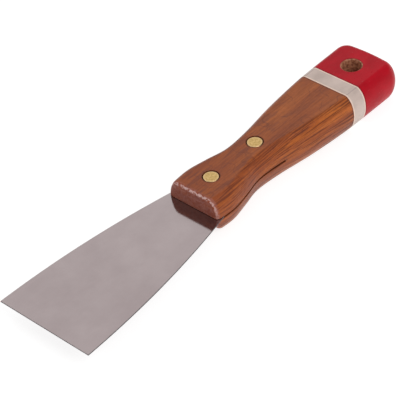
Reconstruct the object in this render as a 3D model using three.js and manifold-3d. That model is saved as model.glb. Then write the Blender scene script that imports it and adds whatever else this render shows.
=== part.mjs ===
// Flexible putty knife: a flared spring steel blade whose tang sits in the saw kerf of a
// one-piece hardwood handle, held by two brass compression rivets of two halves each. The
// rear of the handle carries a white paint band and a red paint coat, and a hanging hole.
//
// Units are millimetres. +X runs along the knife towards the blade's edge, +Y across it and
// +Z up. The knife lies flat, with the handle's lower face on Z = 0, and the origin is under
// the middle of its length. Stations along the knife are distances from the handle's nose.
import * as THREE from 'three';
import { mergeVertices } from 'three/addons/utils/BufferGeometryUtils.js';
import Module from 'manifold-3d';

// ---- driving dimensions ----
const BLADE_WIDTH = 50;
const BLADE_LENGTH = 90; // nose of the handle to the working edge
const BLADE_NECK_WIDTH = 29.7; // where the blade meets the nose
const BLADE_BOW_WIDTH = 48.5; // control width half way along the flared sides
const BLADE_THICKNESS = 0.6;

const TANG_WIDTH = 15;
const FLARE_RUN_ON = 4; // the flared sides run this far on behind the nose, into the kerf
const SHOULDER_STATIONS = [7, 9]; // control stations of the curved shoulder
const TANG_SHOULDER = 14; // nose to the end of the curved shoulder
const TANG_LENGTH = 46;

const HANDLE_LENGTH = 124;
const HANDLE_HEIGHT = 18.8;
const KERF_LENGTH = 47.5;

const RIVET_STATIONS = { front: 12.3, rear: 41 };
const RIVET_HEAD_DIAMETER = 7;
const RIVET_HEAD_HEIGHT = 1.4;
const RIVET_TUBE_DIAMETER = 4.6;
const RIVET_TUBE_LENGTH = 13;
const RIVET_PIN_DIAMETER = 2.4;
const RIVET_PIN_LENGTH = 11;

const BAND_FRONT = 89.3;
const BAND_REAR = 97.5;
const COAT = 0.5; // paint, drawn thicker than a real film

const HANGING_HOLE_STATION = 108.4;
const HANGING_HOLE_DIAMETER = 9;
const WORN_RIM_DIAMETER = 10.2; // bare wood shows between the hole and the red paint

const GAP = 0.3; // clearance between neighbouring pieces

// Half-width of the handle's flat faces at stations behind the nose: a belly for the
// fingers, a waist, and a long swell to the butt.
const FLAT_HALF_WIDTHS = [
  [0, 9.3],
  [10, 9.8],
  [20, 8.1],
  [31.5, 5.7],
  [46, 6.6],
  [64, 9.3],
  [84, 11.2],
  [98, 11.7],
  [120, 11.9],
];
const SIDE_BULGE_FRONT = 4.6; // at mid-height the sides stand out this far past the flat faces
const SIDE_BULGE_REAR = 4.8;
const SIDE_START = 2.5; // stations where the sides run into the end corners
const SIDE_END = 116;

// Plan outline of the flat faces and of the handle at mid-height: where each starts and ends,
// how much its corners take off the half-width, and how far the butt's end is crowned.
const FLAT_PLAN = { start: 1.5, end: 119.5, noseCorner: 1.2, buttCorner: 3.2, crown: 0.5 };
const MIDDLE_PLAN = { start: 0, end: HANDLE_LENGTH, noseCorner: 1.2, buttCorner: 7.5, crown: 0.5 };
const ARCH_HALF_HEIGHT = 9.45; // the sides' arch is a little taller than the handle: a crease

// ---- derived places ----
const MID_Z = HANDLE_HEIGHT / 2;
const NOSE_X = (HANDLE_LENGTH - BLADE_LENGTH) / 2;
const EDGE_X = NOSE_X + BLADE_LENGTH;
const stationX = (station) => NOSE_X - station;

// ---- tessellation ----
const SIDE_STEPS = 30;
const CORNER_STEPS = 6;
const BUTT_STEPS = 6;
const ARCH_STEPS = 12;
const ROUND_STEPS = 32;
const BLADE_STEPS = 24;

const wasm = await Module();
wasm.setup();

// ---- solids ----
function toSolid(geometry) {
  const plain = geometry.clone();
  plain.deleteAttribute('normal');
  plain.deleteAttribute('uv');
  const merged = mergeVertices(plain, 1e-4);
  return new wasm.Manifold(new wasm.Mesh({
    numProp: 3,
    vertProperties: new Float32Array(merged.attributes.position.array),
    triVerts: new Uint32Array(merged.index.array),
  }));
}

function toGeometry(solid) {
  const mesh = solid.getMesh();
  const geometry = new THREE.BufferGeometry();
  geometry.setAttribute('position', new THREE.BufferAttribute(mesh.vertProperties, 3));
  geometry.setIndex(new THREE.BufferAttribute(mesh.triVerts, 1));
  geometry.computeVertexNormals();
  return geometry;
}

function boxSolid(lowX, highX, halfY, lowZ, highZ) {
  const box = new THREE.BoxGeometry(highX - lowX, 2 * halfY, highZ - lowZ);
  box.translate((lowX + highX) / 2, 0, (lowZ + highZ) / 2);
  return toSolid(box);
}

function roundSolid(diameter, x, lowZ, highZ) {
  const cylinder = new THREE.CylinderGeometry(diameter / 2, diameter / 2, highZ - lowZ, ROUND_STEPS);
  cylinder.rotateX(Math.PI / 2);
  cylinder.translate(x, 0, (lowZ + highZ) / 2);
  return toSolid(cylinder);
}

// ---- handle shape ----
const flatEdge = new THREE.SplineCurve(FLAT_HALF_WIDTHS.map(([s, w]) => new THREE.Vector2(s, w)));

// Half-width of the flat faces at a station, read off the curve through the design stations.
function flatHalfWidth(station) {
  const last = FLAT_HALF_WIDTHS.length - 1;
  let low = 0;
  for (let i = 0; i < last; i += 1) {
    if (station >= FLAT_HALF_WIDTHS[i][0]) low = i / last;
  }
  let high = low + 1 / last;
  for (let i = 0; i < 30; i += 1) {
    const middle = (low + high) / 2;
    if (flatEdge.getPoint(middle).x < station) low = middle;
    else high = middle;
  }
  return flatEdge.getPoint(low).y;
}

function sideBulge(station) {
  return THREE.MathUtils.lerp(SIDE_BULGE_FRONT, SIDE_BULGE_REAR, station / HANDLE_LENGTH);
}

// A plan outline of the handle, anticlockwise from above: one side from nose to butt with
// rounded corners, a few points across the crowned butt, and the other side mirrored.
function planOutline(plan, bulgeShare, inset) {
  const side = [];
  const put = (station, cornerLoss) => {
    const halfWidth = flatHalfWidth(station) + bulgeShare * sideBulge(station);
    side.push(new THREE.Vector2(stationX(station), halfWidth - cornerLoss - inset));
  };
  const start = plan.start + inset;
  const end = plan.end - plan.crown - inset;
  for (let i = 0; i < CORNER_STEPS; i += 1) {
    const turn = (i / CORNER_STEPS) * Math.PI / 2;
    put(SIDE_START + (start - SIDE_START) * Math.cos(turn), plan.noseCorner * (1 - Math.sin(turn)));
  }
  for (let i = 0; i < SIDE_STEPS; i += 1) {
    put(THREE.MathUtils.lerp(SIDE_START, SIDE_END, i / SIDE_STEPS), 0);
  }
  for (let i = 0; i <= CORNER_STEPS; i += 1) {
    const turn = (i / CORNER_STEPS) * Math.PI / 2;
    put(SIDE_END + (end - SIDE_END) * Math.sin(turn), plan.buttCorner * (1 - Math.cos(turn)));
  }
  const corner = side[side.length - 1];
  const across = [];
  for (let i = 1; i < BUTT_STEPS; i += 1) {
    const share = 1 - 2 * i / BUTT_STEPS;
    across.push(new THREE.Vector2(corner.x - plan.crown * (1 - share * share), corner.y * share));
  }
  const mirrored = side.map((p) => new THREE.Vector2(p.x, -p.y)).reverse();
  return [...side, ...across, ...mirrored];
}

// The handle's outer shape, drawn in by an inset all over. The flat faces' outline is extruded
// through the height, and each level is moved out towards the middle outline along an arch.
function handleBody(inset) {
  const flat = planOutline(FLAT_PLAN, 0, inset);
  const middle = planOutline(MIDDLE_PLAN, 1, inset);
  const geometry = new THREE.ExtrudeGeometry(new THREE.Shape(flat), {
    depth: 2,
    steps: ARCH_STEPS,
    bevelEnabled: false,
  });
  const key = (x, y) => `${x.toFixed(3)} ${y.toFixed(3)}`;
  const indexOf = new Map(flat.map((p, i) => [key(p.x, p.y), i]));
  const creaseAngle = Math.asin(MID_Z / ARCH_HALF_HEIGHT);
  const position = geometry.attributes.position;
  for (let i = 0; i < position.count; i += 1) {
    const index = indexOf.get(key(position.getX(i), position.getY(i)));
    const angle = (position.getZ(i) - 1) * creaseAngle;
    const arch = (Math.cos(angle) - Math.cos(creaseAngle)) / (1 - Math.cos(creaseAngle));
    const point = new THREE.Vector2().lerpVectors(flat[index], middle[index], arch);
    const height = (MID_Z - inset) * Math.sin(angle) / Math.sin(creaseAngle);
    position.setXYZ(i, point.x, point.y, MID_Z + height);
  }
  return toSolid(geometry);
}

// ---- pieces ----
function makeHandle() {
  const coated = COAT + GAP;
  const butt = -HANDLE_LENGTH;
  const front = boxSolid(stationX(BAND_FRONT), NOSE_X + 1, BLADE_WIDTH, -1, HANDLE_HEIGHT + 1);
  const rear = boxSolid(butt, stationX(BAND_FRONT) + 0.5, BLADE_WIDTH, -1, HANDLE_HEIGHT + 1);
  let wood = handleBody(0).intersect(front).add(handleBody(coated).intersect(rear));

  const halfKerf = BLADE_THICKNESS / 2 + GAP;
  const kerf = boxSolid(stationX(KERF_LENGTH), NOSE_X + 5, BLADE_WIDTH, MID_Z - halfKerf, MID_Z + halfKerf);
  wood = wood.subtract(kerf);
  const holeX = stationX(HANGING_HOLE_STATION);
  wood = wood.subtract(roundSolid(HANGING_HOLE_DIAMETER, holeX, -1, HANDLE_HEIGHT + 1));

  const seat = RIVET_HEAD_HEIGHT + GAP;
  for (const station of Object.values(RIVET_STATIONS)) {
    const x = stationX(station);
    const bore = roundSolid(RIVET_TUBE_DIAMETER + 2 * GAP, x, -1, HANDLE_HEIGHT + 1);
    const upper = roundSolid(RIVET_HEAD_DIAMETER + 2 * GAP, x, HANDLE_HEIGHT - seat, HANDLE_HEIGHT + 1);
    const lower = roundSolid(RIVET_HEAD_DIAMETER + 2 * GAP, x, -1, seat);
    wood = wood.subtract(bore).subtract(upper).subtract(lower);
  }
  return toGeometry(wood);
}

// A paint coat: the shell between the handle's surface and the wood, from one station to another.
function makeCoat(frontStation, rearStation, hole) {
  const zone = boxSolid(stationX(rearStation), stationX(frontStation), BLADE_WIDTH, -1, HANDLE_HEIGHT + 1);
  let coat = handleBody(0).intersect(zone).subtract(handleBody(COAT));
  if (hole > 0) {
    coat = coat.subtract(roundSolid(hole, stationX(HANGING_HOLE_STATION), -1, HANDLE_HEIGHT + 1));
  }
  return toGeometry(coat);
}

function bladeOutline() {
  const neck = BLADE_NECK_WIDTH / 2;
  const bow = BLADE_BOW_WIDTH / 2;
  const tang = TANG_WIDTH / 2;
  const shoulderX = stationX(TANG_SHOULDER);
  const tangEnd = stationX(TANG_LENGTH);
  const middle = (NOSE_X + EDGE_X) / 2;
  const slope = (bow - neck) / (middle - NOSE_X);
  const [outer, inner] = SHOULDER_STATIONS;
  const runOnX = stationX(FLARE_RUN_ON);
  const runOn = neck - slope * FLARE_RUN_ON;
  const outerWidth = neck - slope * outer;
  const shape = new THREE.Shape();
  shape.moveTo(tangEnd, -tang);
  shape.lineTo(shoulderX, -tang);
  shape.bezierCurveTo(stationX(inner), -tang, stationX(outer), -outerWidth, runOnX, -runOn);
  shape.lineTo(NOSE_X, -neck);
  shape.quadraticCurveTo(middle, -bow, EDGE_X, -BLADE_WIDTH / 2);
  shape.lineTo(EDGE_X, BLADE_WIDTH / 2);
  shape.quadraticCurveTo(middle, bow, NOSE_X, neck);
  shape.lineTo(runOnX, runOn);
  shape.bezierCurveTo(stationX(outer), outerWidth, stationX(inner), tang, shoulderX, tang);
  shape.lineTo(tangEnd, tang);
  return shape;
}

function makeBlade() {
  const sheet = new THREE.ExtrudeGeometry(bladeOutline(), {
    depth: BLADE_THICKNESS,
    curveSegments: BLADE_STEPS,
    bevelEnabled: false,
  });
  sheet.translate(0, 0, MID_Z - BLADE_THICKNESS / 2);
  let blade = toSolid(sheet);
  for (const station of Object.values(RIVET_STATIONS)) {
    blade = blade.subtract(roundSolid(RIVET_TUBE_DIAMETER + 2 * GAP, stationX(station), 0, HANDLE_HEIGHT));
  }
  return toGeometry(blade);
}

// A lathe profile is a list of [radius, height] corners; it is turned about +Z.
function turned(profile) {
  const lathe = new THREE.LatheGeometry(profile.map(([r, z]) => new THREE.Vector2(r, z)), ROUND_STEPS);
  lathe.rotateX(Math.PI / 2);
  return toGeometry(toSolid(lathe));
}

// Upper half: a head with a tube that hangs down through the tang.
function makeTubularHalf() {
  const head = RIVET_HEAD_DIAMETER / 2;
  const tube = RIVET_TUBE_DIAMETER / 2;
  const bore = RIVET_PIN_DIAMETER / 2 + GAP;
  return turned([
    [0, -RIVET_HEAD_HEIGHT],
    [bore, -RIVET_HEAD_HEIGHT],
    [bore, -RIVET_TUBE_LENGTH],
    [tube, -RIVET_TUBE_LENGTH],
    [tube, -RIVET_HEAD_HEIGHT],
    [head, -RIVET_HEAD_HEIGHT],
    [head, 0],
    [0, 0],
  ]);
}

// Lower half: a head with a solid pin that is pressed up into the tube.
function makeSolidHalf() {
  const head = RIVET_HEAD_DIAMETER / 2;
  const pin = RIVET_PIN_DIAMETER / 2;
  return turned([
    [0, 0],
    [head, 0],
    [head, RIVET_HEAD_HEIGHT],
    [pin, RIVET_HEAD_HEIGHT],
    [pin, RIVET_PIN_LENGTH],
    [0, RIVET_PIN_LENGTH],
  ]);
}

// ---- materials ----
function finish(color, roughness, metalness) {
  return new THREE.MeshStandardMaterial({ color, roughness, metalness });
}

const spring_steel = () => finish(0xa89c9c, 0.3, 1);
const hardwood = () => finish(0x9a5632, 0.45, 0);
const brass = () => finish(0xc3a571, 0.35, 1);
const white_paint = () => finish(0xccbdb2, 0.4, 0);
const red_paint = () => finish(0xb3202c, 0.3, 0);

// ---- assembly ----
function add(group, name, geometry, material, position = [0, 0, 0]) {
  const mesh = new THREE.Mesh(geometry, material);
  mesh.name = name;
  mesh.position.set(...position);
  group.add(mesh);
}

const knife = new THREE.Group();
add(knife, 'blade', makeBlade(), spring_steel());
add(knife, 'handle', makeHandle(), hardwood());
add(knife, 'white_paint_band', makeCoat(BAND_FRONT + GAP, BAND_REAR, 0), white_paint());
add(knife, 'red_paint_coat', makeCoat(BAND_REAR + GAP, HANDLE_LENGTH + 1, WORN_RIM_DIAMETER), red_paint());
for (const [place, station] of Object.entries(RIVET_STATIONS)) {
  const x = stationX(station);
  add(knife, `${place}_rivet_tubular_half`, makeTubularHalf(), brass(), [x, 0, HANDLE_HEIGHT]);
  add(knife, `${place}_rivet_solid_half`, makeSolidHalf(), brass(), [x, 0, 0]);
}

export default knife;
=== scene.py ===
"""The looks of the flexible putty knife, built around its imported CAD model.

Shapes are worked out in millimetres in the frame of the CAD model: +X runs to the blade's edge,
+Y across the knife and +Z up, with the handle's lower face on Z = 0. Stations along the handle
are distances behind its nose. Meshes are turned into metres when they are made.
"""

import math

import bmesh
import bpy
import numpy as np
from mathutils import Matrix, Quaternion, Vector


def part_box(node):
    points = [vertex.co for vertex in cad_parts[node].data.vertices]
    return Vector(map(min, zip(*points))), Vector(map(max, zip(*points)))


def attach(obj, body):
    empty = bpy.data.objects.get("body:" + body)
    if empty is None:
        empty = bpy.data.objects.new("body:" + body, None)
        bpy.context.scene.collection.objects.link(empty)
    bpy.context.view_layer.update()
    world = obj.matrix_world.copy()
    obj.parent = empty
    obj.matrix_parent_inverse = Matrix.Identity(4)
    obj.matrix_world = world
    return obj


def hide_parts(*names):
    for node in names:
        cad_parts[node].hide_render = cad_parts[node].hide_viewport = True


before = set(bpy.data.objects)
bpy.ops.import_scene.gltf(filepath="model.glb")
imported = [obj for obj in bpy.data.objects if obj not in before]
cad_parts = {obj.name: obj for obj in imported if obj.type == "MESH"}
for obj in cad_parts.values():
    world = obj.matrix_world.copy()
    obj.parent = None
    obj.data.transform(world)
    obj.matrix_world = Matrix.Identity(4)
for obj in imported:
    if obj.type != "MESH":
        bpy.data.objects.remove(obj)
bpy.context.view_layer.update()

MM = 0.001


def node_box(node):
    """The lowest and the highest corner of a CAD node, in millimetres."""
    low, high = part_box(node)
    return low / MM, high / MM


# ---- sizes and places, from the frame ----
handle_high = node_box("handle")[1]
blade_low, blade_high = node_box("blade")
coat_low = node_box("red_paint_coat")[0]
NOSE_X = handle_high.x
BUTT_X = coat_low.x
EDGE_X = blade_high.x
HANDLE_LENGTH = NOSE_X - BUTT_X
HANDLE_HEIGHT = handle_high.z
MID_Z = HANDLE_HEIGHT / 2
BLADE_WIDTH = 2 * blade_high.y
BLADE_BOTTOM = blade_low.z
BLADE_TOP = blade_high.z
TANG_REAR_X = blade_low.x
RIVET_PLACES = ("front", "rear")

# ---- sizes of the handle, its paint and what is cut into it ----
FLAT_HALF_WIDTHS = [  # (station, half the width of the flat faces)
    (0, 9.3),
    (10, 9.8),
    (20, 8.1),
    (31.5, 5.7),
    (46, 6.6),
    (64, 9.3),
    (84, 11.2),
    (98, 11.7),
    (120, 11.9),
]
SIDE_BULGE_FRONT = 4.6  # how far the arched sides stand out past the flat faces
SIDE_BULGE_REAR = 4.8
SIDE_START = 2.5  # station where the rounded corner at the nose ends
SIDE_END = 116  # station where the one at the butt starts
FLAT_PLAN = {  # outline of the flat faces: stations of its ends, and how its corners are rounded
    "start": 1.5,
    "end": 119.5,
    "nose_corner": 1.2,
    "butt_corner": 3.2,
    "crown": 0.5,
}
MIDDLE_PLAN = {  # outline at half height
    "start": 0,
    "end": HANDLE_LENGTH,
    "nose_corner": 1.2,
    "butt_corner": 6.8,
    "crown": 0.4,
}
ARCH_HALF_HEIGHT = 9.45  # half the height of the ellipse that the sides' arch is part of
NOSE_UPPER_EDGE = 1.5  # height over which the nose is rounded towards the upper face
NOSE_LOWER_EDGE = 8.5  # and towards the lower face
NOSE_TUCK = 6.0  # how far the lower rounding pulls the nose back
TUCK_REACH = 20.0  # and how far behind the nose it dies out

BAND_FRONT = 89.3
BAND_REAR = 97.5
PAINT_THICKNESS = 0.2
PAINT_EDGE = 0.1  # rounding of the white paint's edges, and twice that of the red paint's
WOOD_UNDER_PAINT = 0.22  # how far the wood is drawn in under the paint
WOOD_OVERLAP = 0.5  # how far the drawn-in wood runs on in front of the band, inside the bare wood

KERF_LENGTH = 47.5
KERF_WIDTH = 1.0
HOLE_STATION = 108.4
HOLE_RADIUS = 4.5
HOLE_RIM = 0.55  # size of the rounding along the hanging hole's rims
WORN_RIM_RADIUS = 5.1  # the paint is worn away up to here

# ---- sizes of the blade and the rivets ----
BLADE_NECK_WIDTH = 29.7
BLADE_BOW_WIDTH = 48.5  # width that the flare's curve is drawn towards, half way along it
TANG_WIDTH = 15
FLARE_RUN_ON = 4  # the flared sides run this far on behind the nose, into the kerf
SHOULDER_STATIONS = (7, 9)  # control stations of the curved shoulder
TANG_SHOULDER = 14  # the tang's straight sides start at this station
BLADE_CHAMFER = 0.07

RIVET_HEAD_RADIUS = 3.5
RIVET_HEAD_HEIGHT = 1.4
RIVET_HEAD_EDGE = 0.28
RIVET_CROWN = 0.1
RIVET_SEAT_RADIUS = 3.9
RIVET_SEAT_DEPTH = 1.55
RIVET_TUBE_RADIUS = 2.3
RIVET_TUBE_LENGTH = 13
RIVET_BORE_RADIUS = 1.5
RIVET_PIN_RADIUS = 1.2
RIVET_PIN_LENGTH = 11
RIVET_CLEARANCE = 0.3

# ---- fineness and limits of the meshes ----
SIDE_STEPS = 120
CORNER_STEPS = 16
BUTT_STEPS = 16
LEVELS = 72
ROUND_STEPS = 96
CURVE_STEPS = 32
ROUNDING_STEPS = 5
CROWN_STEPS = 12
BEVEL_STEPS = 3
PAST = 5  # how far cutters reach past what they cut
LEVEL_NORMAL = 0.99999  # a face is level when the upright part of its normal is larger than this
SHARP_ANGLE = math.radians(30)
SQUARE_ANGLE = math.radians(60)


def station_x(station):
    return NOSE_X - station


# ---- meshes ----
def make_object(name, vertices, faces):
    """A closed mesh from points in millimetres, with its faces pointing out."""
    mesh = bpy.data.meshes.new(name)
    mesh.from_pydata([Vector(v) * MM for v in vertices], [], faces)
    shape = bmesh.new()
    shape.from_mesh(mesh)
    bmesh.ops.recalc_face_normals(shape, faces=shape.faces)
    shape.to_mesh(mesh)
    shape.free()
    made = bpy.data.objects.new(name, mesh)
    bpy.context.scene.collection.objects.link(made)
    return made


def loft(name, rings, closed=False):
    """Joins rings of points, each with the same number of them, into one closed skin.

    A closed loft runs on from the last ring to the first; an open one has a cap at each end."""
    count = len(rings[0])
    vertices = [point for ring in rings for point in ring]
    faces = []
    for step in range(len(rings) if closed else len(rings) - 1):
        here = step * count
        there = (step + 1) % len(rings) * count
        for i in range(count):
            j = (i + 1) % count
            faces.append((here + i, here + j, there + j, there + i))
    if not closed:
        faces.append(tuple(reversed(range(count))))
        faces.append(tuple(range(len(vertices) - count, len(vertices))))
    return make_object(name, vertices, faces)


def turned(name, profile, x=0):
    """A shape turned about the vertical through x, from a profile of (radius, height) corners."""
    turns = [2 * math.pi * i / ROUND_STEPS for i in range(ROUND_STEPS)]
    rings = [[(x + r * math.cos(t), r * math.sin(t), z) for t in turns] for r, z in profile]
    return loft(name, rings)


def block(name, low, high):
    """A box between two of its corners."""
    corners = [(low[0], low[1]), (high[0], low[1]), (high[0], high[1]), (low[0], high[1])]
    return loft(name, [[(x, y, z) for x, y in corners] for z in (low[2], high[2])])


def apply_modifiers(piece):
    graph = bpy.context.evaluated_depsgraph_get()
    mesh = bpy.data.meshes.new_from_object(piece.evaluated_get(graph))
    piece.modifiers.clear()
    piece.data = mesh


def combine(target, other, operation):
    """Cuts, joins or intersects the target with another shape, which is used up."""
    modifier = target.modifiers.new("combine", "BOOLEAN")
    modifier.operation = operation
    modifier.solver = "MANIFOLD"
    modifier.object = other
    apply_modifiers(target)
    bpy.data.objects.remove(other)


def soften_edges(piece, width):
    """Rounds the piece's squarer edges by a small width."""
    modifier = piece.modifiers.new("soften", "BEVEL")
    modifier.width = width * MM
    modifier.segments = BEVEL_STEPS
    modifier.limit_method = "ANGLE"
    modifier.angle_limit = SQUARE_ANGLE
    modifier.use_clamp_overlap = True
    apply_modifiers(piece)


def shade(piece):
    """Smooth shading with sharp edges at corners and all round the level faces."""
    shape = bmesh.new()
    shape.from_mesh(piece.data)
    for face in shape.faces:
        face.smooth = True
    for edge in shape.edges:
        if len(edge.link_faces) != 2:
            continue
        one, two = (face.normal for face in edge.link_faces)
        borders_level = (abs(one.z) > LEVEL_NORMAL) != (abs(two.z) > LEVEL_NORMAL)
        edge.smooth = not borders_level and one.angle(two, 0) < SHARP_ANGLE
    shape.to_mesh(piece.data)
    shape.free()


def finish_piece(piece, material, slot, *nodes):
    """Gives a piece its material, puts it under the root body and hides the CAD nodes it stands for.
    """
    shade(piece)
    piece.data.materials.clear()
    piece.data.materials.append(material)
    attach(piece, "root")
    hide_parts(*nodes)


# ---- handle shape ----
def smooth_curve(points, steps):
    """Points along a Catmull-Rom curve through the given ones, whose end tangents are halved."""
    last = len(points) - 1
    curve = []
    for i in range(last):
        near = [np.array(points[max(0, min(last, i + k))]) for k in (-1, 0, 1, 2)]
        before, start, end, after = near
        leaving = (end - before) / 2
        arriving = (after - start) / 2
        for step in range(steps):
            t = step / steps
            cubic = 2 * start - 2 * end + leaving + arriving
            square = 3 * end - 3 * start - 2 * leaving - arriving
            curve.append(cubic * t**3 + square * t**2 + leaving * t + start)
    return np.array(curve + [points[last]])


FLAT_EDGE = smooth_curve(FLAT_HALF_WIDTHS, CURVE_STEPS)


def half_width(station, bulge_share):
    """Half the handle's width at a station: a share of 0 is on the flat faces, 1 half way up."""
    bulge = SIDE_BULGE_FRONT + (SIDE_BULGE_REAR - SIDE_BULGE_FRONT) * station / HANDLE_LENGTH
    return np.interp(station, FLAT_EDGE[:, 0], FLAT_EDGE[:, 1]) + bulge_share * bulge


def plan_outline(plan, bulge_share, inset):
    """One side from nose to butt with rounded corners, the crowned butt, and the side mirrored."""
    side = []

    def put(station, corner_loss):
        width = half_width(station, bulge_share) - corner_loss - inset
        side.append((station_x(station), width))

    start = plan["start"] + inset
    end = plan["end"] - plan["crown"] - inset
    turns = [i / CORNER_STEPS * math.pi / 2 for i in range(CORNER_STEPS + 1)]
    for turn in turns[:-1]:
        loss = plan["nose_corner"] * (1 - math.sin(turn))
        put(SIDE_START + (start - SIDE_START) * math.cos(turn), loss)
    for i in range(SIDE_STEPS):
        put(SIDE_START + (SIDE_END - SIDE_START) * i / SIDE_STEPS, 0)
    for turn in turns:
        loss = plan["butt_corner"] * (1 - math.cos(turn))
        put(SIDE_END + (end - SIDE_END) * math.sin(turn), loss)
    corner_x, corner_y = side[-1]
    across = []
    for i in range(1, BUTT_STEPS):
        share = 1 - 2 * i / BUTT_STEPS
        across.append((corner_x - plan["crown"] * (1 - share * share), corner_y * share))
    mirrored = [(x, -y) for x, y in reversed(side)]
    return np.array(side + across + mirrored)


def side_levels(inset):
    """(share by which the side's arch stands out, height) from the lower face to the upper."""
    crease = math.asin(MID_Z / ARCH_HALF_HEIGHT)
    levels = []
    for i in range(LEVELS + 1):
        angle = (2 * i / LEVELS - 1) * crease
        arch = (math.cos(angle) - math.cos(crease)) / (1 - math.cos(crease))
        levels.append((arch, MID_Z + (MID_Z - inset) * math.sin(angle) / math.sin(crease)))
    return levels


def rounding(past):
    """A quarter round: 1 before its start, where past is 0, and 0 at its end, where past is 1."""
    return math.sqrt(max(0, 1 - max(0, past) ** 2))


def nose_rounding(height):
    """The shares by which the nose stands forward at a height, for its upper and lower edge."""
    upper = rounding((height - (HANDLE_HEIGHT - NOSE_UPPER_EDGE)) / NOSE_UPPER_EDGE)
    lower = rounding((NOSE_LOWER_EDGE - height) / NOSE_LOWER_EDGE)
    return upper, lower


def handle_body(name, inset=0):
    """The handle's outer shape, drawn in by an inset all over."""
    flat = plan_outline(FLAT_PLAN, 0, inset)
    middle = plan_outline(MIDDLE_PLAN, 1, inset)
    index = np.arange(len(flat))
    at_nose = (index < CORNER_STEPS) | (index >= len(flat) - CORNER_STEPS)
    rings = []
    for arch, height in side_levels(inset):
        upper, lower = nose_rounding(height)
        forward = np.where(at_nose, min(upper, lower), arch)
        x = flat[:, 0] + (middle[:, 0] - flat[:, 0]) * forward
        x -= NOSE_TUCK * (1 - lower) * np.clip(1 - (NOSE_X - x) / TUCK_REACH, 0, 1)
        y = flat[:, 1] + (middle[:, 1] - flat[:, 1]) * arch
        rings.append([(x[i], y[i], height) for i in index])
    return loft(name, rings)


def cross_section(station, inset):
    """The handle's section at a station, as points round it."""
    flat = half_width(station, 0)
    middle = half_width(station, 1)
    side = [(flat + (middle - flat) * arch - inset, height) for arch, height in side_levels(inset)]
    x = station_x(station)
    return [(x, y, z) for y, z in side] + [(x, -y, z) for y, z in reversed(side)]


# ---- pieces ----
def rivet_x(place):
    low, high = node_box(f"{place}_rivet_tubular_half")
    return (low.x + high.x) / 2


def rivet_seat(place):
    """What is bored out of the wood for one rivet: a seat in each face and a hole between."""
    bore = RIVET_TUBE_RADIUS + RIVET_CLEARANCE
    top = HANDLE_HEIGHT
    profile = [
        (RIVET_SEAT_RADIUS, -PAST),
        (RIVET_SEAT_RADIUS, RIVET_SEAT_DEPTH),
        (bore, RIVET_SEAT_DEPTH),
        (bore, top - RIVET_SEAT_DEPTH),
        (RIVET_SEAT_RADIUS, top - RIVET_SEAT_DEPTH),
        (RIVET_SEAT_RADIUS, top + PAST),
    ]
    return turned("rivet_seat", profile, rivet_x(place))


def hanging_hole(surface_depth):
    """The hanging hole's cutter: a round hole whose rims are eased where they meet the faces."""
    profile = [(HOLE_RADIUS + 2 * HOLE_RIM, -PAST)]
    turns = [i / ROUNDING_STEPS * math.pi / 2 for i in range(ROUNDING_STEPS + 1)]
    for turn in turns:
        radius = HOLE_RADIUS + HOLE_RIM * (1 - math.sin(turn))
        profile.append((radius, surface_depth + HOLE_RIM * (1 - math.cos(turn))))
    profile += [(radius, HANDLE_HEIGHT - z) for radius, z in reversed(profile)]
    return turned("hanging_hole", profile, station_x(HOLE_STATION))


def make_wood(material):
    """The wooden handle, drawn in under its paint, with its kerf, rivet seats and hanging hole."""
    far = BLADE_WIDTH
    wood = handle_body("handle_wood")
    bare = block(
        "bare",
        (station_x(BAND_FRONT), -far, -PAST),
        (NOSE_X + PAST, far, HANDLE_HEIGHT + PAST),
    )
    combine(wood, bare, "INTERSECT")
    coated = handle_body("coated", WOOD_UNDER_PAINT)
    rear = block(
        "rear",
        (BUTT_X - PAST, -far, -PAST),
        (station_x(BAND_FRONT) + WOOD_OVERLAP, far, HANDLE_HEIGHT + PAST),
    )
    combine(coated, rear, "INTERSECT")
    combine(wood, coated, "UNION")
    kerf = block(
        "kerf",
        (station_x(KERF_LENGTH), -far, MID_Z - KERF_WIDTH / 2),
        (NOSE_X + PAST, far, MID_Z + KERF_WIDTH / 2),
    )
    combine(wood, kerf, "DIFFERENCE")
    for place in RIVET_PLACES:
        combine(wood, rivet_seat(place), "DIFFERENCE")
    combine(wood, hanging_hole(WOOD_UNDER_PAINT), "DIFFERENCE")
    finish_piece(wood, material, "hardwood", "handle")


def make_white_band(material):
    """A painted ring round the handle, whose outer edges are rounded."""
    rings = []
    turns = [i / ROUNDING_STEPS * math.pi / 2 for i in range(ROUNDING_STEPS + 1)]
    for turn in turns:
        station = BAND_FRONT + PAINT_EDGE * (1 - math.sin(turn))
        rings.append(cross_section(station, PAINT_EDGE * (1 - math.cos(turn))))
    rings.reverse()
    middle = (BAND_FRONT + BAND_REAR) / 2
    rings.append(cross_section(middle, 0))
    for turn in turns:
        station = BAND_REAR - PAINT_EDGE * (1 - math.sin(turn))
        rings.append(cross_section(station, PAINT_EDGE * (1 - math.cos(turn))))
    for station in (BAND_REAR, middle, BAND_FRONT):
        rings.append(cross_section(station, PAINT_THICKNESS))
    band = loft("white_band", rings, closed=True)
    finish_piece(band, material, "white_paint", "white_paint_band")


def make_red_butt(material):
    """The painted butt: a thin skin that is open at the band and at the hanging hole."""
    far = BLADE_WIDTH
    skin = handle_body("red_butt")
    zone = block(
        "zone",
        (BUTT_X - PAST, -far, -PAST),
        (station_x(BAND_REAR), far, HANDLE_HEIGHT + PAST),
    )
    combine(skin, zone, "INTERSECT")
    combine(skin, handle_body("inside", PAINT_THICKNESS), "DIFFERENCE")
    rim = turned(
        "rim",
        [(WORN_RIM_RADIUS, -PAST), (WORN_RIM_RADIUS, HANDLE_HEIGHT + PAST)],
        station_x(HOLE_STATION),
    )
    combine(skin, rim, "DIFFERENCE")
    soften_edges(skin, PAINT_EDGE / 2)
    finish_piece(skin, material, "red_paint", "red_paint_coat")


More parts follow.
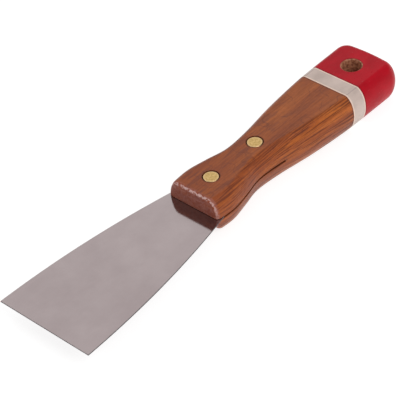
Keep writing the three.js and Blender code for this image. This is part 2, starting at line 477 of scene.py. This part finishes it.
def bezier(start, first, second, end):
    """Points along a cubic curve, without its end."""
    points = []
    for i in range(CURVE_STEPS):
        t = i / CURVE_STEPS
        weights = ((1 - t) ** 3, 3 * t * (1 - t) ** 2, 3 * t * t * (1 - t), t**3)
        weighted = zip((start, first, second, end), weights)
        points.append(sum(np.array(point) * weight for point, weight in weighted))
    return points


def blade_outline():
    """Tang, curved shoulder and flared side on one side of the middle, then the same mirrored."""
    neck = BLADE_NECK_WIDTH / 2
    tang = TANG_WIDTH / 2
    bow = np.array(((NOSE_X + EDGE_X) / 2, BLADE_BOW_WIDTH / 2))
    slope = (bow[1] - neck) / (bow[0] - NOSE_X)

    def carried_on(station):
        """The flared side, carried on straight behind the nose."""
        return np.array((station_x(station), neck - slope * station))

    outer, inner = SHOULDER_STATIONS
    run_on = carried_on(FLARE_RUN_ON)
    shoulder_curve = bezier(
        (station_x(TANG_SHOULDER), tang),
        (station_x(inner), tang),
        carried_on(outer),
        run_on,
    )
    neck_point = carried_on(0)
    edge_point = np.array((EDGE_X, BLADE_WIDTH / 2))
    flare = bezier(
        neck_point,
        neck_point + (bow - neck_point) * 2 / 3,
        edge_point + (bow - edge_point) * 2 / 3,
        edge_point,
    )
    side = [np.array((TANG_REAR_X, tang)), *shoulder_curve, run_on, *flare, edge_point]
    mirrored = [np.array((x, -y)) for x, y in side]
    return mirrored + side[::-1]


def drawn_in(outline, distance):
    """A closed anticlockwise outline, drawn in by a distance."""
    points = np.array(outline)
    edges = np.roll(points, -1, axis=0) - points
    inward = np.stack((-edges[:, 1], edges[:, 0]), axis=1)
    inward /= np.linalg.norm(inward, axis=1)[:, None]
    corner = inward + np.roll(inward, 1, axis=0)
    corner /= (corner**2).sum(axis=1)[:, None] / 2
    return points + corner * distance


def make_blade(material):
    """The spring steel sheet, with its sharp edges taken off and two rivet holes in the tang."""
    outline = blade_outline()
    narrow = drawn_in(outline, BLADE_CHAMFER)
    layers = [
        (narrow, BLADE_BOTTOM),
        (outline, BLADE_BOTTOM + BLADE_CHAMFER),
        (outline, BLADE_TOP - BLADE_CHAMFER),
        (narrow, BLADE_TOP),
    ]
    blade = loft("blade_sheet", [[(x, y, z) for x, y in points] for points, z in layers])
    hole = RIVET_TUBE_RADIUS + RIVET_CLEARANCE
    for place in RIVET_PLACES:
        profile = [(hole, BLADE_BOTTOM - PAST), (hole, BLADE_TOP + PAST)]
        combine(blade, turned("rivet_hole", profile, rivet_x(place)), "DIFFERENCE")
    finish_piece(blade, material, "spring_steel", "blade")


def head_profile():
    """A rivet head from its crowned middle to its rounded rim, as (radius, depth) points."""
    crown_radius = RIVET_HEAD_RADIUS - RIVET_HEAD_EDGE
    profile = []
    for i in range(1, CROWN_STEPS + 1):
        radius = crown_radius * i / CROWN_STEPS
        profile.append((radius, RIVET_CROWN * (i / CROWN_STEPS) ** 2))
    for i in range(1, ROUNDING_STEPS + 1):
        turn = i / ROUNDING_STEPS * math.pi / 2
        radius = crown_radius + RIVET_HEAD_EDGE * math.sin(turn)
        profile.append((radius, RIVET_CROWN + RIVET_HEAD_EDGE * (1 - math.cos(turn))))
    profile.append((RIVET_HEAD_RADIUS, RIVET_HEAD_HEIGHT))
    return profile


def make_rivet(place, material):
    """Both halves of one compression rivet, each with its origin in the middle of its head."""
    tubular = head_profile() + [
        (RIVET_TUBE_RADIUS, RIVET_HEAD_HEIGHT),
        (RIVET_TUBE_RADIUS, RIVET_TUBE_LENGTH),
        (RIVET_BORE_RADIUS, RIVET_TUBE_LENGTH),
        (RIVET_BORE_RADIUS, RIVET_HEAD_HEIGHT),
    ]
    solid = head_profile() + [
        (RIVET_PIN_RADIUS, RIVET_HEAD_HEIGHT),
        (RIVET_PIN_RADIUS, RIVET_PIN_LENGTH),
    ]
    halves = (("tubular", tubular, HANDLE_HEIGHT, -1), ("solid", solid, 0, 1))
    for kind, profile, face, inward in halves:
        inward_profile = [(radius, inward * depth) for radius, depth in profile]
        piece = turned(f"{place}_rivet_{kind}", inward_profile)
        piece.location = Vector((rivet_x(place), 0, face)) * MM
        finish_piece(piece, material, "rivet_brass", f"{place}_rivet_{kind}_half")


# ---- colours: linear red, green and blue ----
WOOD_DARK = (0.230, 0.050, 0.013)
WOOD_MEDIUM = (0.325, 0.077, 0.016)
WOOD_LIGHT = (0.440, 0.117, 0.021)
WOOD_SMUDGE = (0.15, 0.040, 0.024)
# painted sheen of the level faces
WOOD_FACES_PAINTED_SHEEN = (0.215, 0.070, 0.034)
WOOD_FIGURE = (0.10, 0.030, 0.022)
WOOD_PORE = (0.085, 0.017, 0.007)
WOOD_HANDLED = (0.20, 0.040, 0.017)
WOOD_NOSE = (0.25, 0.052, 0.042)
WOOD_TORN_AND_HIGHLIGHT = (0.46, 0.21, 0.18)
# bare wood, and painted highlight on the nose's upper edge
WOOD_BARE_AND_HIGHLIGHT = (0.62, 0.40, 0.37)
# painted shade at the seam with the white band
WOOD_SEAM_SHADE = (0.08, 0.02, 0.012)
# painted shade in and beside the kerf
KERF_SHADE = (0.05, 0.014, 0.008)
# painted shade round the rivet seats
RIVET_RING_SHADE = (0.07, 0.02, 0.01)
HOLE_DARK_MOTTLE = (0.22, 0.080, 0.042)
HOLE_DUST = (0.58, 0.26, 0.15)
WHITE_PAINT = (0.62, 0.50, 0.445)
WHITE_DEEPER = (0.50, 0.40, 0.355)
WHITE_SPECK = (0.36, 0.27, 0.24)
# painted shade along the white band's crease
WHITE_CREASE_SHADE = (0.25, 0.18, 0.20)
# painted highlight along the white band's borders
WHITE_BORDER_HIGHLIGHT = (0.88, 0.66, 0.54)
RED_PAINT = (0.47, 0.002, 0.013)
RED_DEEPER = (0.375, 0.002, 0.010)
RED_SPECK = (0.62, 0.22, 0.22)
# painted shade at the seam with the white band
RED_SEAM_SHADE = (0.16, 0.004, 0.012)
RED_RIM = (0.25, 0.03, 0.03)
STEEL_DARK = (0.342, 0.286, 0.287)
STEEL_LIGHT = (0.386, 0.328, 0.328)
STEEL_SPECK = (0.1, 0.08, 0.08)
# painted shade on the blade's edges
STEEL_EDGE_SHADE = (0.11, 0.092, 0.095)
BRASS_TARNISHED = (0.44, 0.29, 0.095)
BRASS_CLEAN = (0.68, 0.47, 0.20)
# painted highlight on the rivet heads' rims
BRASS_RIM_HIGHLIGHT = (0.78, 0.54, 0.32)
FLOOR_DARK = (0.30, 0.30, 0.30)
FLOOR_LIGHT = (0.32, 0.32, 0.32)
GLOW_WHITE = (1, 1, 1, 1)

# ---- places of the marks, in millimetres ----
GRAIN_SWAY = 3  # how far the grain can stray from straight
SIDE_SWAY = 0.3  # the share of that for the grain round the sides
SMUDGES_FADE = (75, 50)  # stations between which the smudges grow darker
HANDLED_FADE = (60, 20)  # and the handled wood
KERF_SHADE_FADE = (28, 42)  # and the painted shade in the kerf
NOSE_MARKS = (2.2, 0.4)  # the nose's wear, its end grain's tone and its painted highlight start and are full this far behind it
TORN_AND_HIGHLIGHT_START = 1  # torn fibres and painted highlight specks show more from this far above the middle
SEAM_SHADE_FADE = (0.8, 0.3)  # the painted line of shade at a seam starts and is full this far from it
BORDER_HIGHLIGHT_FADE = (0.8, 0.5)  # and the painted highlight along the white band's borders, from the band's ends
KERF_END_FADE = 1.5  # the painted shade runs on this far behind the kerf
RING_SHADE_FADE = (0.5, 0.1)  # a rivet's painted ring of shade starts and is full this far outside its seat
HOLE_FADE = 0.4  # the marks round the hanging hole die out this far outside its worn rim
BRASS_RIM_HIGHLIGHT_FADE = (0.9, 0.2)  # the painted highlight on the rim starts and is full this far inside the head's edge


# ---- materials ----
class Surface:
    """A Principled material put together from procedural nodes, laid out in millimetres."""

    def __init__(self, name, **constants):
        self.material = bpy.data.materials.new(name)
        self.material.use_nodes = True
        self.tree = self.material.node_tree
        self.shader = self.tree.nodes["Principled BSDF"]
        for socket, value in constants.items():
            self.shader.inputs[socket.replace("_", " ")].default_value = value
        coordinates = self.tree.nodes.new("ShaderNodeTexCoord")
        self.place = self.vector("MULTIPLY", coordinates.outputs["Object"], (1 / MM,) * 3)

    def node(self, kind, values, **settings):
        """Adds a node. Its values are constants, or outputs of other nodes to link."""
        made = self.tree.nodes.new(kind)
        for key, value in settings.items():
            setattr(made, key, value)
        for socket, value in values.items():
            if isinstance(value, bpy.types.NodeSocket):
                self.tree.links.new(value, made.inputs[socket])
            else:
                made.inputs[socket].default_value = value
        return made

    def drive(self, socket, output):
        self.tree.links.new(output, self.shader.inputs[socket])

    def vector(self, operation, first, second):
        made = self.node("ShaderNodeVectorMath", {0: first, 1: second}, operation=operation)
        return made.outputs[0]

    def math(self, operation, first, second=0.0):
        return self.node("ShaderNodeMath", {0: first, 1: second}, operation=operation).outputs[0]

    def times(self, first, second):
        return self.math("MULTIPLY", first, second)

    def parts(self, place):
        """The X, Y and Z of a place or a direction."""
        return self.node("ShaderNodeSeparateXYZ", {0: place}).outputs

    def stretch(self, place, along, across, upward=None):
        """A place multiplied on each axis: the larger the number, the finer the pattern there."""
        return self.vector("MULTIPLY", place, (along, across, across if upward is None else upward))

    def noise(self, place, detail=2.0, roughness=0.5):
        values = {"Vector": place, "Scale": 1.0, "Detail": detail, "Roughness": roughness}
        return self.node("ShaderNodeTexNoise", values).outputs["Fac"]

    def spots(self, place, radius):
        """1 in the middle of small round spots at random places, and 0 between them."""
        cells = self.node("ShaderNodeTexVoronoi", {"Vector": place, "Scale": 1.0})
        return self.scale_range(cells.outputs["Distance"], 0, radius, 1, 0)

    def scale_range(self, value, low, high, to_low=0.0, to_high=1.0):
        """Maps the range from low to high onto another, and holds what lies outside at its ends."""
        source = {"Value": value, "From Min": low, "From Max": high}
        target = {"To Min": to_low, "To Max": to_high}
        return self.node("ShaderNodeMapRange", {**source, **target}).outputs[0]

    def ramp(self, factor, *stops):
        """Colours at positions from 0 to 1."""
        made = self.node("ShaderNodeValToRGB", {"Fac": factor})
        elements = made.color_ramp.elements
        while len(elements) < len(stops):
            elements.new(0.5)
        for element, (position, colour) in zip(elements, stops):
            element.position = position
            element.color = (*colour, 1)
        return made.outputs["Color"]

    def mix(self, factor, first, second, blend="MIX"):
        """Blends two colours; the first is the output of a node."""
        other = second if isinstance(second, bpy.types.NodeSocket) else (*second, 1)
        made = self.node("ShaderNodeMix", {0: factor, 6: first, 7: other}, data_type="RGBA")
        made.blend_type = blend
        return made.outputs[2]

    def lay_over(self, colour, other, where, strength):
        """The colour with another one over it, by this strength where the pattern is 1."""
        return self.mix(self.times(where, strength), colour, other)

    def tint(self, colour, pattern, darker, lighter, strength=1.0):
        """The colour multiplied by a tone that follows a pattern."""
        tone = self.ramp(pattern, (0.3, darker), (0.7, lighter))
        return self.mix(strength, colour, tone, "MULTIPLY")

    def bump(self, height, distance):
        """Relief of a height map, this many millimetres deep."""
        values = {"Height": height, "Distance": distance * MM, "Strength": 1.0}
        return self.node("ShaderNodeBump", values).outputs[0]

    def facing(self, axis):
        """How much the surface faces along an axis: 1 straight on, 0 at right angles to it."""
        normal = self.tree.nodes.new("ShaderNodeNewGeometry").outputs["Normal"]
        return self.parts(normal)[axis]

    def distance_from_axis(self, x=0.0):
        """Distance from the vertical line through x, in millimetres."""
        level = self.vector("MULTIPLY", self.place, (1, 1, 0))
        away = self.node("ShaderNodeVectorMath", {0: level, 1: (x, 0, 0)}, operation="DISTANCE")
        return away.outputs["Value"]


class Hardwood(Surface):
    """Reddish hardwood under a satin lacquer, with its grain along the handle.

    A method that takes a colour gives it back with one kind of mark laid over it."""

    def __init__(self):
        super().__init__("hardwood_lacquered", Specular_IOR_Level=0.19)
        places = self.parts(self.place)
        self.x = places["X"]
        self.z = places["Z"]
        self.above_middle = self.math("SUBTRACT", self.z, MID_Z)
        self.forward = self.facing("X")
        self.upright = self.math("ABSOLUTE", self.facing("Z"))
        self.on_faces = self.scale_range(self.upright, 0.88, 0.98)
        marks_start, marks_full = NOSE_MARKS
        self.at_nose = self.scale_range(self.x, NOSE_X - marks_start, NOSE_X - marks_full)
        self.lay_grain(places["Y"])

    def lay_grain(self, across):
        """Places for patterns that follow the grain: one straight, one wrapped round the handle."""
        sway = self.noise(self.stretch(self.place, 0.02, 0.05), 1.0)
        shift = self.scale_range(sway, 0, 1, -GRAIN_SWAY, GRAIN_SWAY)
        offset = self.node("ShaderNodeCombineXYZ", {"Y": shift, "Z": shift}).outputs[0]
        self.grain = self.vector("ADD", self.place, offset)
        turn = self.math("ARCTAN2", self.above_middle, across)
        arc = self.times(turn, MID_Z)
        around = self.math("ADD", arc, self.times(shift, SIDE_SWAY))
        wrapped = self.node("ShaderNodeCombineXYZ", {"X": self.x, "Y": around})
        self.wrapped_grain = wrapped.outputs[0]
        self.fibres = self.noise(self.stretch(self.wrapped_grain, 0.022, 1.1), 5.0, 0.6)

    def ground(self):
        """The wood's own colour: broad bands, fibres, which are fainter on the faces, and mottle."""
        bands = self.noise(self.stretch(self.grain, 0.012, 0.12, 0.30), 3.0)
        colour = self.ramp(bands, (0.3, WOOD_DARK), (0.5, WOOD_MEDIUM), (0.7, WOOD_LIGHT))
        strength = self.scale_range(self.on_faces, 0, 1, 1, 0.45)
        colour = self.tint(colour, self.fibres, (0.74, 0.69, 0.67), (1.24, 1.26, 1.27), strength)
        mottle = self.noise(self.stretch(self.place, 0.5, 1.0, 1.6), 3.0, 0.6)
        return self.tint(colour, mottle, (0.86, 0.84, 0.86), (1.12, 1.12, 1.12))

    def smudges_and_face_sheen(self, colour):
        """Dark smudged patches, strongest on the faces and towards the nose, and a painted sheen
        that turns the level faces a duller, pinker brown.
        """
        clouds = self.noise(self.stretch(self.grain, 0.07, 0.38), 3.0)
        rear, front = SMUDGES_FADE
        forward = self.scale_range(self.x, station_x(rear), station_x(front), 0.2, 0.6)
        strength = self.times(forward, self.scale_range(self.on_faces, 0, 1, 0.4, 1))
        smudged = self.scale_range(clouds, 0.53, 0.60)
        colour = self.lay_over(colour, WOOD_SMUDGE, smudged, strength)
        # painted sheen: the level faces take a duller, pinker brown, as light glancing off them
        # looks
        return self.lay_over(colour, WOOD_FACES_PAINTED_SHEEN, self.on_faces, 0.25)

    def figure(self, colour):
        """Faint thin lines that wander over the faces, as the contours of a slow pattern do."""
        slow = self.noise(self.stretch(self.place, 0.07, 0.10), 1.0)
        off_contour = self.math("ABSOLUTE", self.math("SUBTRACT", slow, 0.5))
        lines = self.scale_range(off_contour, 0.003, 0.012, 1, 0)
        return self.lay_over(colour, WOOD_FIGURE, self.times(lines, self.upright), 0.35)

    def pores(self):
        """Long pores, wide and fine: deep on the sides, shallow on the faces, faint in end grain."""
        wide = self.noise(self.stretch(self.wrapped_grain, 0.035, 1.5), 1.5, 0.6)
        fine = self.noise(self.stretch(self.wrapped_grain, 0.05, 2.6), 1.5)
        wide_pores = self.scale_range(wide, 0.57, 0.62)
        fine_pores = self.scale_range(fine, 0.56, 0.61)
        depth = self.scale_range(self.on_faces, 0, 1, 0.7, 0.22)
        along_grain = self.times(self.math("MAXIMUM", wide_pores, fine_pores), depth)
        return self.times(along_grain, self.scale_range(self.forward, 0.5, 0.8, 1, 0.1))

    def handling(self, colour):
        """The front of the handle, darkened by the hand."""
        rear, front = HANDLED_FADE
        held = self.scale_range(self.x, station_x(rear), station_x(front))
        return self.lay_over(colour, WOOD_HANDLED, held, 0.3)

    def torn_and_highlit_nose(self, colour):
        """The nose's end grain, with pale specks of torn fibre and painted highlight that show most
        towards its upper edge.
        """
        colour = self.lay_over(colour, WOOD_NOSE, self.at_nose, 0.45)
        # painted highlight: the pale specks grow towards the upper edge, where light catches the
        # nose, on top of torn fibres
        tears = self.noise(self.stretch(self.place, 0.5, 0.35, 0.8), 4.0, 0.7)
        torn = self.times(self.scale_range(tears, 0.50, 0.60), self.at_nose)
        upper = self.scale_range(self.z, MID_Z + TORN_AND_HIGHLIGHT_START, HANDLE_HEIGHT, 0.05, 0.5)
        return self.lay_over(colour, WOOD_TORN_AND_HIGHLIGHT, torn, upper)

    def bare_flecks_and_highlight(self, colour):
        """Pale flecks of bare wood and painted highlight: strong on the nose's rounded upper edge,
        faint on the rest of it.
        """
        # painted highlight: the pale flecks gather on the rounding that faces up and forward, where
        # light glints, as well as where the wood is rubbed bare
        past_side = self.scale_range(self.forward, 0.25, 0.5)
        before_front = self.scale_range(self.forward, 0.97, 0.9)
        on_rounding = self.times(past_side, before_front)
        on_upper_edge = self.scale_range(self.facing("Z"), 0.1, 0.5, 0.35, 1)
        rubbed_and_highlit = self.times(on_rounding, on_upper_edge)
        worn = self.times(self.at_nose, self.scale_range(rubbed_and_highlit, 0, 1, 0.1, 1))
        flecks = self.noise(self.stretch(self.place, 0.9, 0.9), 3.0, 0.65)
        return self.lay_over(colour, WOOD_BARE_AND_HIGHLIGHT, worn, self.scale_range(flecks, 0.42, 0.55))

    def painted_seam_shade(self, colour):
        """A painted line of shade where the wood meets the white band."""
        seam = station_x(BAND_FRONT)
        start, full = SEAM_SHADE_FADE
        line = self.scale_range(self.x, seam + start, seam + full)
        # painted shade: a dark line in the groove where the wood meets the paint
        return self.lay_over(colour, WOOD_SEAM_SHADE, line, 0.55)

    def kerf_shade(self, colour):
        """Painted shade in the kerf and beside it, which thins out towards the nose."""
        from_middle = self.math("ABSOLUTE", self.above_middle)
        beside_kerf = self.scale_range(from_middle, KERF_WIDTH, KERF_WIDTH / 2)
        kerf_end = station_x(KERF_LENGTH)
        before_end = self.scale_range(self.x, kerf_end - KERF_END_FADE, kerf_end)
        kerf_shaded = self.times(beside_kerf, self.math("SUBTRACT", before_end, self.at_nose))
        front, rear = KERF_SHADE_FADE
        strength = self.scale_range(self.x, station_x(front), station_x(rear), 0.2, 0.45)
        # painted shade: the wood either side of the slit is darkened, as the slit's shadow looks
        return self.lay_over(colour, KERF_SHADE, kerf_shaded, strength)

    def rivet_ring_shade(self, colour):
        """A painted ring of shade round each rivet's seat."""
        outer, inner = RING_SHADE_FADE
        for place in RIVET_PLACES:
            away = self.distance_from_axis(rivet_x(place))
            ring_shade = self.scale_range(away, RIVET_SEAT_RADIUS + outer, RIVET_SEAT_RADIUS + inner)
            # painted shade: a dark ring where the head sits sunk in its seat
            colour = self.lay_over(colour, RIVET_RING_SHADE, ring_shade, 0.5)
        return colour

    def dusty_hole(self, colour):
        """Bare and dusty wood in the hanging hole and on its worn rim."""
        away = self.distance_from_axis(station_x(HOLE_STATION))
        in_hole = self.scale_range(away, WORN_RIM_RADIUS + HOLE_FADE, WORN_RIM_RADIUS)
        dust = self.noise(self.stretch(self.place, 0.7, 0.7), 3.0, 0.6)
        dusty = self.ramp(dust, (0.38, HOLE_DARK_MOTTLE), (0.62, HOLE_DUST))
        return self.lay_over(colour, dusty, in_hole, 0.8)


def hardwood():
    """The handle's wood, with all its marks laid over each other in turn."""
    wood = Hardwood()
    pores = wood.pores()
    colour = wood.ground()
    colour = wood.smudges_and_face_sheen(colour)
    colour = wood.figure(colour)
    colour = wood.mix(pores, colour, WOOD_PORE)
    later_marks = (
        wood.handling,
        wood.torn_and_highlit_nose,
        wood.bare_flecks_and_highlight,
        wood.painted_seam_shade,
        wood.kerf_shade,
        wood.rivet_ring_shade,
        wood.dusty_hole,
    )
    for mark in later_marks:
        colour = mark(colour)
    wood.drive("Base Color", colour)
    dull = wood.math("ADD", wood.times(pores, 0.2), wood.times(wood.fibres, 0.15))
    wood.drive("Roughness", wood.math("ADD", dull, 0.26))
    relief = wood.math("SUBTRACT", wood.times(wood.fibres, 0.3), pores)
    wood.drive("Normal", wood.bump(relief, 0.03))
    return wood.material


def paint(name, colour, deeper, speck_colour):
    """Brushed-on gloss paint: faint orange peel, slight colour drift, dust specks and scuffs.

    Returns the surface and its colour, for more marks."""
    coat = Surface(name, Specular_IOR_Level=0.12)
    drift = coat.noise(coat.stretch(coat.place, 0.09, 0.14), 3.0)
    tone = coat.ramp(drift, (0.35, deeper), (0.65, colour))
    specks = coat.spots(coat.stretch(coat.place, 0.14, 0.14), 0.04)
    tone = coat.lay_over(tone, speck_colour, specks, 0.6)
    rubbing = coat.noise(coat.stretch(coat.place, 0.25, 1.1), 4.0, 0.6)
    scuffs = coat.scale_range(rubbing, 0.66, 0.74)
    tone = coat.lay_over(tone, speck_colour, scuffs, 0.25)
    coat.drive("Roughness", coat.scale_range(rubbing, 0.3, 0.75, 0.26, 0.5))
    peel = coat.noise(coat.stretch(coat.place, 0.9, 0.9), 2.0)
    coat.drive("Normal", coat.bump(coat.math("ADD", peel, specks), 0.02))
    return coat, tone


def white_enamel():
    """White paint, yellowed a little, with a painted grey line of shade along the crease and a
    painted highlight along its borders.
    """
    coat, tone = paint("white_enamel", WHITE_PAINT, WHITE_DEEPER, WHITE_SPECK)
    upright = coat.math("ABSOLUTE", coat.facing("Z"))
    past_side = coat.scale_range(upright, 0.95, 0.965)
    before_face = coat.scale_range(upright, 0.992, 0.986)
    # painted shade: a grey line along the crease between the face and the side
    tone = coat.lay_over(tone, WHITE_CREASE_SHADE, coat.times(past_side, before_face), 0.45)
    middle = (station_x(BAND_FRONT) + station_x(BAND_REAR)) / 2
    half = (BAND_REAR - BAND_FRONT) / 2
    x = coat.parts(coat.place)["X"]
    from_middle = coat.math("ABSOLUTE", coat.math("SUBTRACT", x, middle))
    start, full = BORDER_HIGHLIGHT_FADE
    border = coat.scale_range(from_middle, half - start, half - full)
    # painted highlight: pale lines along both borders of the band
    coat.drive("Base Color", coat.lay_over(tone, WHITE_BORDER_HIGHLIGHT, border, 0.7))
    return coat.material


def red_enamel():
    """Red paint, with a painted line of shade where it meets the white band, and darker along the
    rim of the hanging hole.
    """
    coat, tone = paint("red_enamel", RED_PAINT, RED_DEEPER, RED_SPECK)
    x = coat.parts(coat.place)["X"]
    seam = station_x(BAND_REAR)
    start, full = SEAM_SHADE_FADE
    line = coat.scale_range(x, seam - start, seam - full)
    # painted shade: a dark line where the red meets the white band
    tone = coat.lay_over(tone, RED_SEAM_SHADE, line, 0.6)
    from_hole = coat.distance_from_axis(station_x(HOLE_STATION))
    rim = coat.scale_range(from_hole, WORN_RIM_RADIUS + HOLE_FADE, WORN_RIM_RADIUS)
    coat.drive("Base Color", coat.lay_over(tone, RED_RIM, rim, 0.4))
    return coat.material


def spring_steel():
    """Polished steel: fine lines along the blade, faint clouds, a few dark specks, and painted shade
    on its edges.
    """
    steel = Surface("spring_steel_polished", Metallic=1.0)
    clouds = steel.noise(steel.stretch(steel.place, 0.06, 0.06), 4.0, 0.6)
    lines = steel.noise(steel.stretch(steel.place, 0.15, 9.0), 3.0, 0.7)
    tone = steel.ramp(clouds, (0.3, STEEL_DARK), (0.7, STEEL_LIGHT))
    tone = steel.tint(tone, lines, (0.97, 0.97, 0.97), (1.02, 1.02, 1.02))
    specks = steel.spots(steel.stretch(steel.place, 0.06, 0.06), 0.02)
    tone = steel.mix(specks, tone, STEEL_SPECK)
    # painted shade: the cut edges and their chamfers are darkened so the edge reads as a dark line
    at_edge = steel.scale_range(steel.math("ABSOLUTE", steel.facing("Z")), 0.95, 0.6)
    steel.drive("Base Color", steel.mix(at_edge, tone, STEEL_EDGE_SHADE))
    wear = steel.math("ADD", clouds, steel.times(lines, 0.5))
    satin = steel.scale_range(wear, 0.4, 1.1, 0.07, 0.15)
    steel.drive("Roughness", steel.math("MAXIMUM", satin, steel.times(at_edge, 0.5)))
    steel.drive("Normal", steel.bump(lines, 0.0015))
    return steel.material


def rivet_brass():
    """Brass filed flush with the wood: a painted highlight round the rim, filing lines and some
    tarnish.
    """
    brass = Surface("rivet_brass_filed", Metallic=1.0)
    lines = brass.noise(brass.stretch(brass.place, 0.7, 7.0), 3.0, 0.6)
    tarnish = brass.noise(brass.stretch(brass.place, 0.9, 0.9), 4.0, 0.65)
    tone = brass.ramp(tarnish, (0.38, BRASS_TARNISHED), (0.62, BRASS_CLEAN))
    inner, outer = BRASS_RIM_HIGHLIGHT_FADE
    from_middle = brass.distance_from_axis()
    rim = brass.scale_range(from_middle, RIVET_HEAD_RADIUS - inner, RIVET_HEAD_RADIUS - outer)
    # painted highlight: a paler ring just inside the head's edge
    tone = brass.lay_over(tone, BRASS_RIM_HIGHLIGHT, rim, 0.5)
    brass.drive("Base Color", brass.tint(tone, lines, (0.9, 0.9, 0.9), (1.05, 1.05, 1.05)))
    brass.drive("Roughness", brass.scale_range(tarnish, 0.3, 0.7, 0.28, 0.42))
    brass.drive("Normal", brass.bump(lines, 0.006))
    return brass.material


def floor_material():
    """A white sweep that glows a little, as on a light table, so that shadows stay faint."""
    floor = Surface("floor_white", Roughness=0.9, Emission_Strength=0.8)
    floor.shader.inputs["Emission Color"].default_value = GLOW_WHITE
    grain = floor.noise(floor.stretch(floor.place, 0.05, 0.05), 3.0)
    floor.drive("Base Color", floor.ramp(grain, (0.3, FLOOR_DARK), (0.7, FLOOR_LIGHT)))
    return floor.material


# ---- studio ----
FLOOR_SIZE = 6.0  # metres
FLOOR_TOP = -0.05  # millimetres
FLOOR_BOTTOM = -20
LIGHT_DISTANCE = 1.6  # metres
CAMERA_AIM = Vector((11.3, -1.3, MID_Z)) * MM
CAMERA_AZIMUTH = 45.41  # from +X towards +Y
CAMERA_ELEVATION = 40.93
CAMERA_DISTANCE = 0.8188  # metres
CAMERA_ROLL = -5.72
CAMERA_LENS = 172.9
CAMERA_SENSOR = 36.0
WORLD_BRIGHTNESS = 0.48


def direction(azimuth, elevation):
    turn = math.radians(azimuth)
    rise = math.radians(elevation)
    level = math.cos(rise)
    return Vector((math.cos(turn) * level, math.sin(turn) * level, math.sin(rise)))


def make_camera():
    data = bpy.data.cameras.new("camera")
    data.lens = CAMERA_LENS
    data.sensor_width = CAMERA_SENSOR
    camera = bpy.data.objects.new("camera", data)
    bpy.context.scene.collection.objects.link(camera)
    back = direction(CAMERA_AZIMUTH, CAMERA_ELEVATION)
    camera.location = CAMERA_AIM + back * CAMERA_DISTANCE
    camera.rotation_mode = "QUATERNION"
    roll = Quaternion((0, 0, 1), math.radians(CAMERA_ROLL))
    camera.rotation_quaternion = (-back).to_track_quat("-Z", "Y") @ roll
    bpy.context.scene.camera = camera


def make_floor():
    half = FLOOR_SIZE / 2 / MM
    floor = block("floor", (-half, -half, FLOOR_BOTTOM), (half, half, FLOOR_TOP))
    floor.data.materials.append(floor_material())


def make_light(name, azimuth, elevation, size, brightness):
    """A square soft box that faces the knife. At a brightness of 1 it would look just white."""
    data = bpy.data.lights.new(name, "AREA")
    data.shape = "SQUARE"
    data.size = size
    data.energy = brightness * math.pi * size**2
    light = bpy.data.objects.new(name, data)
    bpy.context.scene.collection.objects.link(light)
    towards = direction(azimuth, elevation)
    light.location = CAMERA_AIM + towards * LIGHT_DISTANCE
    light.rotation_mode = "QUATERNION"
    light.rotation_quaternion = (-towards).to_track_quat("-Z", "Y")


def make_studio():
    scene = bpy.context.scene
    scene.view_settings.view_transform = "Standard"
    world = bpy.data.worlds.new("studio")
    scene.world = world
    world.use_nodes = True
    background = world.node_tree.nodes["Background"]
    background.inputs["Color"].default_value = GLOW_WHITE
    background.inputs["Strength"].default_value = WORLD_BRIGHTNESS
    make_floor()
    make_light("overhead", azimuth=0, elevation=88, size=1.2, brightness=0.1)
    make_light("side", azimuth=92, elevation=48, size=1.0, brightness=3.25)
    make_light("rear", azimuth=225, elevation=42, size=1.6, brightness=0.62)
    make_light("edge", azimuth=-39, elevation=32, size=0.35, brightness=5)


make_camera()
make_studio()
make_wood(hardwood())
make_white_band(white_enamel())
make_red_butt(red_enamel())
make_blade(spring_steel())
brass_material = rivet_brass()
for rivet_place in RIVET_PLACES:
    make_rivet(rivet_place, brass_material)
